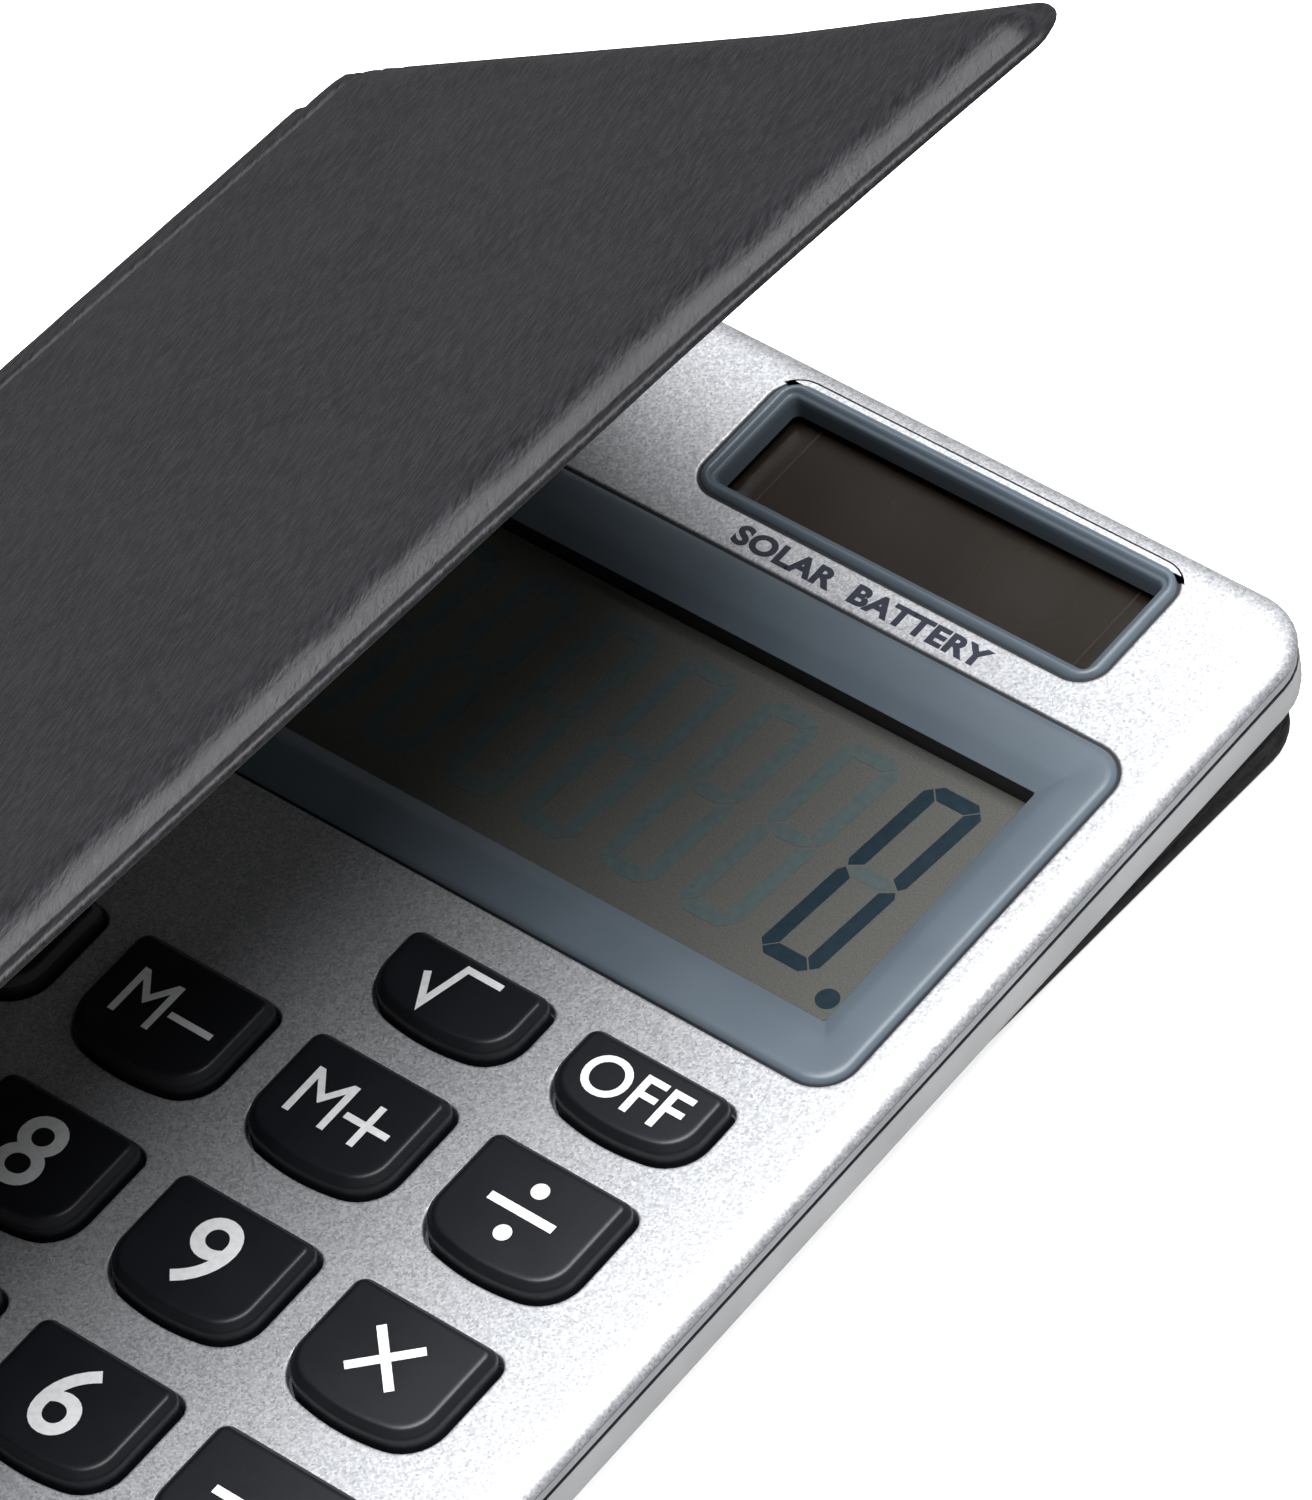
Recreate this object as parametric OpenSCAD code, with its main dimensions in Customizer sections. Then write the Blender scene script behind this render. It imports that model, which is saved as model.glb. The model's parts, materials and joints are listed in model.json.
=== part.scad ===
// Pocket calculator in a folding leatherette wallet.
// X runs across the keys, Y towards the display and Z up.
// The origin is on the wallet's underside, below the middle of the calculator.

/* [Calculator body] */
// Width of the body
body_w = 70; // [69:0.5:72]
// Length of the body
body_l = 110; // [109.5:0.5:112]
// Corner radius of the body seen from above
body_r = 4; // [3.5:0.5:5]
// Edge radius of the rear casing
rear_edge = 2; // [1.5:0.1:2.2]
// Edge radius of the face plate
face_edge = 0.85; // [0.5:0.05:0.85]
// Wall thickness of the casings
wall = 1.2; // [1:0.1:1.3]

/* [Keys] */
// Distance between key columns
key_pitch_x = 12.1; // [11.9:0.1:12.3]
// Distance between key rows
key_pitch_y = 11; // [10.9:0.1:11.1]
// Width of a key at the face
key_w = 9.4; // [9:0.1:9.5]
// Length of a key
key_l = 7.7; // [7.4:0.1:7.8]
// Length of the short keys under the display
short_key_l = 5.2; // [5:0.1:5.4]
// Height of the key tops above the face
key_rise = 1.2; // [1:0.1:1.2]
// Gap between a key and its hole
key_gap = 0.25; // [0.2:0.05:0.3]

/* [Display] */
// Width of the display bezel
bezel_w = 64.5; // [64:0.1:65]
// Length of the display bezel
bezel_l = 26.3; // [26:0.1:26.6]
// Middle of the display bezel
bezel_y = 28.35; // [28.2:0.05:28.5]
// Width of the opening in the display bezel
window_w = 57.4; // [57:0.1:57.8]
// Length of the opening in the display bezel
window_l = 18.2; // [18:0.1:18.6]

/* [Solar panel] */
// Width of the solar bezel
solar_w = 27.4; // [27:0.1:27.6]
// Length of the solar bezel
solar_l = 9.1; // [9:0.1:9.2]
// Sideways place of the solar bezel
solar_x = 13.35; // [13:0.05:13.6]
// Lengthwise place of the solar bezel
solar_y = 48.9; // [48.8:0.05:49]
// Width of the solar bezel's rim
solar_rim = 1.15; // [1:0.05:1.3]

/* [Wallet] */
// Length of the wallet along its fold
wallet_l = 118; // [117:0.5:119]
// Distance from the fold to the back panel's free edge
back_w = 70.9; // [70:0.1:72]
// Distance from the fold to the flap's free edge
flap_w = 73.5; // [73:0.1:74.5]
// Turn of the wallet under the calculator, seen from above
wallet_yaw = 3.1; // [2.9:0.1:3.3]
// Opening angle of the flap
flap_angle = 34; // [30:1:40]
// Corner radius of the wallet's panels
wallet_r = 4; // [3.5:0.5:6]
// Width of the flange round the raised panel
flange_w = 4.2; // [3.8:0.1:4.4]

/* [Hidden] */
$fn = 48;

// Levels, counted up from the wallet's underside
back_t = 1.4;
lining_t = 0.3;
board_t = 0.6;
pad_t = 0.3;
floor_t = 0.9;
contact_t = 0.2;
rear_bottom = back_t + pad_t;
floor_top = rear_bottom + floor_t;
parting_z = 5.2;
web_bottom = 5.5;
face_bottom = 6;
face_top = 6.9;
key_top = face_top + key_rise;
pcb_bottom = floor_top + contact_t;
pcb_top = 3.45;
mat_top = 4.1;
key_bottom = 4.95;
flange_top = 5.4;
bezel_top = face_top + 0.25;
lens_bottom = 4.95;
polarizer_bottom = 4.8;
glass_t = 0.55;
front_glass_bottom = polarizer_bottom - glass_t;
rear_glass_bottom = front_glass_bottom - glass_t;
reflector_bottom = rear_glass_bottom - 0.15;
solar_cell_t = 1.1;

// How far a cutting shape runs past the face that it cuts
cut = 1;

// Fit between the parts that drop into the face
seat_gap = 0.12;
web_gap = 0.05;
bezel_r = 2.2;
solar_r = 1.7;
window_r = 0.4;
key_flange = 0.5;
lens_lap = 1.5;
lens_r = 1;
bezel_edge = 0.5;
solar_edge = 0.45;
solar_window_gap = 0.2;
solar_cell_gap = 0.4;

// Depth of the shadow lines above and below the front casing's band
groove = 0.12;
band_inset = 0.1;
core_inset = 0.5;

// Key rows: the short row sits above row 0
row_0_y = -0.1;
short_row_y = 9.1;
tall_key_l = key_l + key_pitch_y;

// Key outline
key_far_r = 0.8;
key_near_r = 2.4;
key_bow = 0.5;

// Screws, three down each side
screw_x = 31.9;
screw_ys = [-50.5, 12.6, 49.5];
boss_r = 1.6;
pilot_r = 0.7;
screw_head_r = 1.3;
screw_head_h = 0.5;
screw_tip_z = 5.1;
screw_clearance = 0.15;

// Circuit board and what stands on it
pcb_w = 60;
pcb_l = 103.8;
pcb_near_y = -50.5;
pcb_cell_gap = 1;
chip_w = 6;
chip_x = -5;
chip_r = 2.2;
chip_base_h = 0.5;
capacitor = [2, 1.2, 0.7];
capacitor_x = -28;
capacitor_ys = [44.6, 47.2, 49.8];
mat_w = 59.4;
mat_l = 64;
mat_y = -18;
mat_r = 1.5;

// Button cell
cell_r = 5.8;
cell_h = 3.05;
cell_x = -16;
cell_y = 47.6;
cell_can_gap = 0.2;
cell_step = 0.3;
tab_w = 2;
tab_overhang = 1.6;
clip_w = 4;
clip_h = 2.6;
clip_foot = 2.4;
cell_bottom = floor_top + contact_t;

// Wallet frame: its x = 0 is the spine, its y = 0 the middle of the fold
wallet_x = -39.15;
wallet_y = -1.3;
lower_fold_z = 0.75;
upper_fold_z = 8.65;
fold_gap = 1;
spine_t = 0.8;
spine_inset = 5.5;
flap_outer = 0.75;
flap_inner = -0.35;
flap_lining_t = 0.25;
flap_board_t = 0.5;
panel_rise = 0.45;
weld_w = 7;

function column_x(column) = (column - 3) * key_pitch_x;
function row_y(row) = row_0_y - row * key_pitch_y;

module rounded_rect(w, l, r) {
    square([w - 2 * r, l], center = true);
    square([w, l - 2 * r], center = true);
    for (sx = [-1, 1], sy = [-1, 1])
        translate([sx * (w / 2 - r), sy * (l / 2 - r)])
            circle(r);
}

module slab(w, l, h, r) {
    linear_extrude(h)
        rounded_rect(w, l, r);
}

// A slab whose upper edges are rounded with radius e
module soft_slab(w, l, h, r, e) {
    hull()
        for (angle = [0, 30, 60, 90]) {
            inset = e * (1 - cos(angle));
            slab(w - 2 * inset, l - 2 * inset, h - e + e * sin(angle), r - inset, $fn = 32);
        }
}

// Shield outline of a key: small far corners, large near corners and a bowed near edge
module key_outline(w, l, grow) {
    half_w = w / 2 + grow;
    half_l = l / 2 + grow;
    near_y = -half_l + key_bow;
    far_r = key_far_r + grow;
    near_r = key_near_r + grow;
    chord = half_w - near_r / 2;
    bow_r = (chord * chord + key_bow * key_bow) / (2 * key_bow);
    translate([-half_w, near_y + near_r])
        square([2 * half_w, half_l - far_r - near_y - near_r]);
    translate([-half_w + near_r, near_y])
        square([2 * (half_w - near_r), half_l - near_y]);
    translate([-half_w + far_r, 0])
        square([2 * (half_w - far_r), half_l]);
    for (side = [-1, 1]) {
        translate([side * (half_w - far_r), half_l - far_r])
            circle(far_r);
        translate([side * (half_w - near_r), near_y + near_r])
            circle(near_r);
    }
    intersection() {
        translate([0, -half_l + bow_r])
            circle(bow_r);
        translate([-chord, -half_l - 1])
            square([2 * chord, 3]);
    }
}

module key_cap(x, y, l) {
    color("#17181b")
        translate([x, y, 0]) {
            translate([0, 0, key_bottom])
                linear_extrude(key_top - key_bottom)
                    key_outline(key_w, l, 0);
            translate([0, 0, key_bottom])
                linear_extrude(flange_top - key_bottom)
                    key_outline(key_w, l, key_flange);
        }
}

// A key in one of the five columns and one of the five full rows
module grid_key(column, row) {
    key_cap(column_x(column), row_y(row), key_l);
}

module key_holes(grow) {
    for (column = [4, 5])
        translate([column_x(column), short_row_y])
            key_outline(key_w, short_key_l, grow);
    for (column = [1 : 5], row = [0 : 4])
        if (column < 5 || row < 3)
            translate([column_x(column), row_y(row)])
                key_outline(key_w, key_l, grow);
    translate([column_x(5), row_y(3.5)])
        key_outline(key_w, tall_key_l, grow);
}

module window_holes(grow) {
    translate([0, bezel_y])
        rounded_rect(bezel_w + 2 * grow, bezel_l + 2 * grow, bezel_r + grow);
    translate([solar_x, solar_y])
        rounded_rect(solar_w + 2 * grow, solar_l + 2 * grow, solar_r + grow);
}

module at_screws() {
    for (side = [-1, 1], y = screw_ys)
        translate([side * screw_x, y, 0])
            children();
}

module face_plate() {
    color("#c4c6c9")
        translate([0, 0, face_bottom])
            difference() {
                soft_slab(body_w, body_l, face_top - face_bottom, body_r, face_edge);
                translate([0, 0, -cut])
                    linear_extrude(face_top - face_bottom + 2 * cut) {
                        key_holes(key_gap);
                        window_holes(seat_gap);
                    }
            }
}

module front_casing() {
    color("#8d9094")
        difference() {
            union() {
                translate([0, 0, parting_z])
                    slab(body_w - 2 * core_inset, body_l - 2 * core_inset,
                         face_bottom - parting_z, body_r - core_inset);
                translate([0, 0, parting_z + groove])
                    slab(body_w - 2 * band_inset, body_l - 2 * band_inset,
                         face_bottom - parting_z - 2 * groove, body_r - band_inset);
                at_screws()
                    translate([0, 0, floor_top])
                        cylinder(r = boss_r, h = web_bottom - floor_top);
            }
            translate([0, 0, parting_z - cut])
                linear_extrude(cut + web_bottom - parting_z)
                    difference() {
                        rounded_rect(body_w - 2 * wall, body_l - 2 * wall, body_r - wall);
                        at_screws()
                            circle(boss_r);
                    }
            translate([0, 0, parting_z])
                linear_extrude(face_bottom - parting_z + cut) {
                    key_holes(key_gap);
                    window_holes(web_gap);
                }
            translate([cell_x, cell_y, parting_z])
                cylinder(r = cell_r + cell_can_gap, h = face_bottom - parting_z + cut);
            at_screws()
                translate([0, 0, floor_top - cut])
                    cylinder(r = pilot_r, h = screw_tip_z + screw_clearance - floor_top + cut);
        }
}

module rear_casing() {
    color("#b9bbbd")
        difference() {
            translate([0, 0, parting_z])
                mirror([0, 0, 1])
                    soft_slab(body_w, body_l, parting_z - rear_bottom, body_r, rear_edge);
            translate([0, 0, floor_top])
                slab(body_w - 2 * wall, body_l - 2 * wall, parting_z, body_r - wall);
            at_screws()
                translate([0, 0, rear_bottom - cut]) {
                    cylinder(r = pilot_r + screw_clearance, h = floor_t + 2 * cut);
                    cylinder(r = screw_head_r + screw_clearance, h = screw_head_h + cut);
                }
        }
}

module casing_screws() {
    color("#9a9ca0")
        at_screws() {
            translate([0, 0, rear_bottom])
                cylinder(r = screw_head_r, h = screw_head_h);
            translate([0, 0, rear_bottom])
                cylinder(r = pilot_r, h = screw_tip_z - rear_bottom);
        }
}

module display_bezel() {
    color("#6f7a85")
        translate([0, bezel_y, web_bottom])
            difference() {
                soft_slab(bezel_w, bezel_l, bezel_top - web_bottom, bezel_r, bezel_edge);
                translate([0, 0, -cut])
                    slab(window_w, window_l, bezel_top - web_bottom + 2 * cut, window_r);
            }
}

module display_window() {
    color("#dfe8ea", 0.4)
        translate([0, bezel_y, lens_bottom])
            slab(window_w + 2 * lens_lap, window_l + 2 * lens_lap, web_bottom - lens_bottom, lens_r);
}

// One sheet of the display stack, from y = low to y = high
module display_sheet(w, low, high, bottom, t) {
    translate([-w / 2, low, bottom])
        cube([w, high - low, t]);
}

module lcd_front_polarizer() {
    color("#6c7269", 0.8)
        display_sheet(58.6, 18.8, 38, polarizer_bottom, lens_bottom - polarizer_bottom);
}

module lcd_front_glass() {
    color("#a9b5ae", 0.6)
        display_sheet(60, 16.2, 39.2, front_glass_bottom, glass_t);
}

module lcd_rear_glass() {
    color("#a9b5ae", 0.6)
        display_sheet(60, 18.9, 39.2, rear_glass_bottom, glass_t);
}

module lcd_reflector() {
    color("#8b9185")
        display_sheet(58.6, 19.2, 38, reflector_bottom, rear_glass_bottom - reflector_bottom);
}

module lcd_connector() {
    color("#c96f8a")
        display_sheet(52, 16.5, 18.5, pcb_top, front_glass_bottom - pcb_top);
}

module solar_bezel() {
    color("#6f7a85")
        translate([solar_x, solar_y, web_bottom])
            difference() {
                soft_slab(solar_w, solar_l, bezel_top - web_bottom, solar_r, solar_edge);
                translate([0, 0, -cut])
                    slab(solar_w - 2 * solar_rim, solar_l - 2 * solar_rim,
                         bezel_top - web_bottom + 2 * cut, solar_r - solar_rim);
            }
}

module solar_window() {
    color("#d8dcdc", 0.4)
        translate([solar_x, solar_y, lens_bottom])
            slab(solar_w - 2 * solar_window_gap, solar_l - 2 * solar_window_gap,
                 web_bottom - lens_bottom, lens_r);
}

module solar_cell() {
    color("#241a17")
        translate([solar_x, solar_y, lens_bottom - solar_cell_t])
            slab(solar_w - 2 * solar_cell_gap, solar_l - 2 * solar_cell_gap, solar_cell_t, 0.2);
}

module solar_leads() {
    color("#c9a24a")
        for (side = [-1, 1])
            translate([solar_x + side * 11, solar_y - 2, pcb_top])
                cylinder(r = 0.35, h = lens_bottom - solar_cell_t - pcb_top);
}

module circuit_board() {
    color("#2f6b45")
        difference() {
            translate([-pcb_w / 2, pcb_near_y, pcb_bottom])
                cube([pcb_w, pcb_l, pcb_top - pcb_bottom]);
            translate([cell_x, cell_y, pcb_bottom - cut]) {
                notch_r = cell_r + pcb_cell_gap;
                notch_h = pcb_top - pcb_bottom + 2 * cut;
                cylinder(r = notch_r, h = notch_h);
                translate([-notch_r, 0, 0])
                    cube([2 * notch_r, 2 * notch_r, notch_h]);
            }
        }
}

module calculator_chip() {
    color("#151515")
        translate([chip_x, solar_y, pcb_top]) {
            slab(chip_w, chip_w, chip_base_h, 1);
            cylinder(r = chip_r, h = 2 * chip_base_h);
        }
}

module board_components() {
    color("#b08a52")
        for (y = capacitor_ys)
            translate([capacitor_x, y, pcb_top])
                cube(capacitor);
}

module key_mat() {
    color("#3a3c40")
        translate([0, mat_y, pcb_top])
            slab(mat_w, mat_l, mat_top - pcb_top, mat_r);
}

module battery() {
    color("#c8cacc")
        translate([cell_x, cell_y, cell_bottom]) {
            cylinder(r = cell_r - 2 * cell_step, h = cell_h / 2);
            translate([0, 0, cell_step])
                cylinder(r = cell_r, h = cell_h - cell_step);
        }
}

module battery_contact_negative() {
    color("#c9a24a")
        translate([cell_x, cell_y, floor_top]) {
            cylinder(r = cell_r / 2, h = contact_t);
            translate([0, -tab_w / 2, 0])
                cube([cell_r + tab_overhang, tab_w, contact_t]);
        }
}

module battery_contact_positive() {
    color("#c9a24a")
        translate([cell_x - cell_r - contact_t, cell_y - clip_w / 2, cell_bottom]) {
            cube([contact_t, clip_w, clip_h]);
            translate([-clip_foot, 0, pcb_top - cell_bottom])
                cube([clip_foot, clip_w, contact_t]);
        }
}

// Puts its children in the wallet's own frame
module wallet_frame() {
    translate([wallet_x, wallet_y, 0])
        rotate([0, 0, -wallet_yaw])
            children();
}

// Puts its children in the flap's own frame, with z = 0 on the upper fold
module flap_frame() {
    wallet_frame()
        translate([0, 0, upper_fold_z])
            rotate([0, -flap_angle, 0])
                children();
}

// A panel from x = near to x = far, pulled in by inset at both ends, with rounded free corners
module wallet_panel(near, far, inset, bottom, t, r) {
    half_l = wallet_l / 2 - inset;
    translate([0, 0, bottom])
        linear_extrude(t) {
            translate([near, -half_l])
                square([far - near - r, 2 * half_l]);
            translate([far - r - 1, -half_l + r])
                square([r + 1, 2 * (half_l - r)]);
            for (side = [-1, 1])
                translate([far - r, side * (half_l - r)])
                    circle(r);
        }
}

module wallet_back_cover() {
    color("#26272b")
        wallet_frame()
            difference() {
                wallet_panel(fold_gap, back_w, 0, 0, back_t - lining_t, wallet_r);
                wallet_panel(weld_w - 2, back_w - flange_w, flange_w, back_t - lining_t - board_t, 2, 3);
            }
}

module back_board() {
    color("#6b6560")
        wallet_frame()
            wallet_panel(weld_w - 2, back_w - flange_w, flange_w, back_t - lining_t - board_t, board_t, 3);
}

module wallet_back_lining() {
    color("#1c1d20")
        wallet_frame()
            wallet_panel(fold_gap, back_w, 0, back_t - lining_t, lining_t, wallet_r);
}

module adhesive_pad() {
    color("#d9d4c4")
        translate([-22, -38, back_t])
            cube([44, 76, pad_t]);
}

module wallet_spine() {
    color("#26272b")
        wallet_frame()
            translate([-spine_t / 2, spine_inset - wallet_l / 2, lower_fold_z + fold_gap])
                cube([spine_t, wallet_l - 2 * spine_inset, upper_fold_z - lower_fold_z - 2 * fold_gap]);
}

module wallet_flap_cover() {
    color("#26272b")
        flap_frame()
            difference() {
                union() {
                    wallet_panel(fold_gap, flap_w, 0, flap_inner + flap_lining_t,
                                 flap_outer - flap_inner - flap_lining_t - panel_rise, wallet_r);
                    wallet_panel(weld_w, flap_w - flange_w, flange_w, 0,
                                 flap_outer, 3);
                }
                wallet_panel(weld_w + 1, flap_w - flange_w - 1, flange_w + 1,
                             flap_inner + flap_lining_t - 1, flap_board_t + 1, 2);
            }
}

module flap_board() {
    color("#6b6560")
        flap_frame()
            wallet_panel(weld_w + 1, flap_w - flange_w - 1, flange_w + 1,
                         flap_inner + flap_lining_t, flap_board_t, 2);
}

module flap_lining() {
    color("#1c1d20")
        flap_frame()
            wallet_panel(fold_gap, flap_w, 0, flap_inner, flap_lining_t, wallet_r);
}

wallet_back_cover();
back_board();
wallet_back_lining();
adhesive_pad();
wallet_spine();
wallet_flap_cover();
flap_board();
flap_lining();
rear_casing();
front_casing();
face_plate();
casing_screws();
display_bezel();
display_window();
lcd_front_polarizer();
lcd_front_glass();
lcd_rear_glass();
lcd_reflector();
lcd_connector();
solar_bezel();
solar_window();
solar_cell();
solar_leads();
circuit_board();
calculator_chip();
board_components();
key_mat();
battery();
battery_contact_positive();
battery_contact_negative();
key_cap(column_x(4), short_row_y, short_key_l);  // key_sqrt
key_cap(column_x(5), short_row_y, short_key_l);  // key_off
grid_key(1, 0);  // key_mc
grid_key(2, 0);  // key_mr
grid_key(3, 0);  // key_m_minus
grid_key(4, 0);  // key_m_plus
grid_key(5, 0);  // key_divide
grid_key(1, 1);  // key_percent
grid_key(2, 1);  // key_7
grid_key(3, 1);  // key_8
grid_key(4, 1);  // key_9
grid_key(5, 1);  // key_multiply
grid_key(1, 2);  // key_sign
grid_key(2, 2);  // key_4
grid_key(3, 2);  // key_5
grid_key(4, 2);  // key_6
grid_key(5, 2);  // key_minus
grid_key(1, 3);  // key_clear
grid_key(2, 3);  // key_1
grid_key(3, 3);  // key_2
grid_key(4, 3);  // key_3
key_cap(column_x(5), row_y(3.5), tall_key_l);  // key_plus
grid_key(1, 4);  // key_all_clear
grid_key(2, 4);  // key_0
grid_key(3, 4);  // key_point
grid_key(4, 4);  // key_equals
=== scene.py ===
import json
import math

import bmesh
import bpy
from mathutils import Matrix, Vector, noise


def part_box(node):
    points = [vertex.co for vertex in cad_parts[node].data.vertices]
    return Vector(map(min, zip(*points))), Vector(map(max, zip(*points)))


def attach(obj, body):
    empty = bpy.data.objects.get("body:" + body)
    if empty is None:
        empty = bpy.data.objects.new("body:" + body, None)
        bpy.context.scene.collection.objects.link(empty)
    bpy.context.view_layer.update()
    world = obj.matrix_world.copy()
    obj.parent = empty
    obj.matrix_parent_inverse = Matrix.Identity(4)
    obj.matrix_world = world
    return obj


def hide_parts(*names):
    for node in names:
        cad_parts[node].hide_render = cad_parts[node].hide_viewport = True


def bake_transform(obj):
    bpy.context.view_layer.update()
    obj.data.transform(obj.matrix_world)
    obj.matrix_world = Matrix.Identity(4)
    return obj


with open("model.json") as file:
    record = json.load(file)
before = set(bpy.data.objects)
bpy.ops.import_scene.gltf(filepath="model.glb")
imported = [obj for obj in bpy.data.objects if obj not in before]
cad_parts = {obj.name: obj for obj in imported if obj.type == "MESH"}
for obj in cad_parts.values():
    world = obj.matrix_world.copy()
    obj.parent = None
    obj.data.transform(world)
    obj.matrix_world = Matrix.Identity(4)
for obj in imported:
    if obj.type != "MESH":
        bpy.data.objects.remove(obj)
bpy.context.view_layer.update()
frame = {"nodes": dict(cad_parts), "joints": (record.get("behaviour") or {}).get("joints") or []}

MM = 0.001
SCENE = bpy.context.scene
UP = Vector((0, 0, 1))

# ---------------------------------------------------------------- places taken from the frame

JOINTS = {joint["name"]: joint for joint in frame["joints"]}
LOWER_FOLD = Vector(JOINTS["spine_fold"]["pos_m"])
UPPER_FOLD = Vector(JOINTS["flap_fold"]["pos_m"])
FLAP_ANGLE = math.radians(-JOINTS["flap_fold"]["range_deg"][0])
ALONG = -Vector(JOINTS["flap_fold"]["axis"]).normalized()
OUTWARD = ALONG.cross(UP)


def axes(x, y, z, origin):
    """Matrix from a local frame, in millimetres, to the part's frame in metres."""
    turn = Matrix((x, y, z)).transposed().to_4x4()
    return Matrix.Translation(origin) @ turn @ Matrix.Scale(MM, 4)


WALLET = axes(OUTWARD, ALONG, UP, Vector((LOWER_FOLD.x, LOWER_FOLD.y, 0)))
FLAP = axes(
    OUTWARD * math.cos(FLAP_ANGLE) + UP * math.sin(FLAP_ANGLE),
    ALONG,
    UP * math.cos(FLAP_ANGLE) - OUTWARD * math.sin(FLAP_ANGLE),
    UPPER_FOLD,
)
BODY = Matrix.Scale(MM, 4)


def local_box(node, matrix):
    """Lowest and highest corner of a CAD node in a local frame, in that frame's millimetres."""
    inverse = matrix.inverted()
    points = [inverse @ vertex.co for vertex in frame["nodes"][node].data.vertices]
    low = Vector([min(point[axis] for point in points) for axis in range(3)])
    high = Vector([max(point[axis] for point in points) for axis in range(3)])
    return low, high


# ---------------------------------------------------------------- materials


class Shader:
    """A node material that is built up step by step round one Principled shader."""

    def __init__(self, name, **sockets):
        self.material = bpy.data.materials.new(name)
        self.material.use_nodes = True
        self.tree = self.material.node_tree
        self.bsdf = self.tree.nodes["Principled BSDF"]
        self.output = self.tree.nodes["Material Output"]
        for socket, value in sockets.items():
            self.bsdf.inputs[socket.replace("_", " ")].default_value = value

    def link(self, source, target):
        self.tree.links.new(source, target)

    def node(self, kind, **settings):
        made = self.tree.nodes.new(kind)
        for name, value in settings.items():
            setattr(made, name, value)
        return made

    def place(self, stretch=(1, 1, 1), turn=(0, 0, 0)):
        """Object coordinates, turned by degrees and then stretched."""
        source = self.node("ShaderNodeTexCoord")
        turned = self.node("ShaderNodeMapping")
        turned.inputs["Rotation"].default_value = [math.radians(angle) for angle in turn]
        self.link(source.outputs["Object"], turned.inputs["Vector"])
        stretched = self.node("ShaderNodeMapping")
        stretched.inputs["Scale"].default_value = stretch
        self.link(turned.outputs["Vector"], stretched.inputs["Vector"])
        return stretched.outputs["Vector"]

    def noise(self, size_mm, place=None, detail=3, rough=0.5, twist=0):
        made = self.node("ShaderNodeTexNoise")
        made.inputs["Scale"].default_value = 1 / (size_mm * MM)
        made.inputs["Detail"].default_value = detail
        made.inputs["Roughness"].default_value = rough
        made.inputs["Distortion"].default_value = twist
        self.link(place or self.place(), made.inputs["Vector"])
        return made.outputs["Fac"]

    def cells(self, size_mm, output="Color", place=None):
        made = self.node("ShaderNodeTexVoronoi")
        made.inputs["Scale"].default_value = 1 / (size_mm * MM)
        self.link(place or self.place(), made.inputs["Vector"])
        return made.outputs[output]

    def fit(self, value, low, high, source=(0.3, 0.7)):
        """Takes a factor from its own range to low..high."""
        made = self.node("ShaderNodeMapRange")
        made.inputs["From Min"].default_value = source[0]
        made.inputs["From Max"].default_value = source[1]
        made.inputs["To Min"].default_value = low
        made.inputs["To Max"].default_value = high
        self.link(value, made.inputs["Value"])
        return made.outputs["Result"]

    def math(self, operation, a, b):
        made = self.node("ShaderNodeMath", operation=operation)
        for socket, value in zip(made.inputs, (a, b)):
            if isinstance(value, (int, float)):
                socket.default_value = value
            else:
                self.link(value, socket)
        return made.outputs["Value"]

    def mix(self, factor, a, b):
        made = self.node("ShaderNodeMix", data_type="RGBA")
        self.link(factor, made.inputs["Factor"])
        for socket, value in zip((made.inputs[6], made.inputs[7]), (a, b)):
            if isinstance(value, (tuple, list)):
                socket.default_value = (*value, 1)
            else:
                self.link(value, socket)
        return made.outputs[2]

    def color(self, socket):
        self.link(socket, self.bsdf.inputs["Base Color"])

    def roughness(self, socket):
        self.link(socket, self.bsdf.inputs["Roughness"])

    def bump(self, height, depth_mm, strength=1.0, under=None):
        made = self.node("ShaderNodeBump")
        made.inputs["Strength"].default_value = strength
        made.inputs["Distance"].default_value = depth_mm * MM
        self.link(height, made.inputs["Height"])
        if under is not None:
            self.link(under, made.inputs["Normal"])
        self.link(made.outputs["Normal"], self.bsdf.inputs["Normal"])
        return made.outputs["Normal"]


def silver_paint():
    """Sparkle paint: fine bright and dark flakes under a satin coat."""
    shader = Shader("silver_paint", Metallic=0.82, Coat_Weight=0.06, Coat_Roughness=0.4)
    flake = shader.cells(0.13)
    speck = shader.fit(shader.noise(0.14, detail=2), 0, 1, (0.36, 0.64))
    cloud = shader.noise(9, detail=2)
    tone = shader.mix(flake, (0.26, 0.27, 0.29), (0.72, 0.73, 0.76))
    tone = shader.mix(shader.math("MULTIPLY", speck, 0.45), tone, (0.49, 0.5, 0.52))
    shader.color(shader.mix(shader.fit(cloud, 0, 0.12), tone, (0.49, 0.5, 0.52)))
    shader.roughness(shader.fit(speck, 0.52, 0.64, (0, 1)))
    shader.bump(speck, 0.004, 0.5)
    return shader.material


def moulded_plastic(name, dark, light, rough, grain_mm=0.12, depth_mm=0.003, specular=0.5):
    """Satin plastic with the fine spark-eroded grain of a mould and a slight drift in tone."""
    shader = Shader(name, Specular_IOR_Level=specular)
    grain = shader.noise(grain_mm, detail=2)
    drift = shader.noise(6, detail=2)
    tone = shader.mix(shader.fit(drift, 0, 1), dark, light)
    fine = shader.fit(grain, 0, 0.35)
    shader.color(shader.mix(fine, tone, light))
    shader.roughness(shader.fit(grain, rough - 0.05, rough + 0.06))
    shader.bump(grain, depth_mm, 0.5)
    return shader.material


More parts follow.
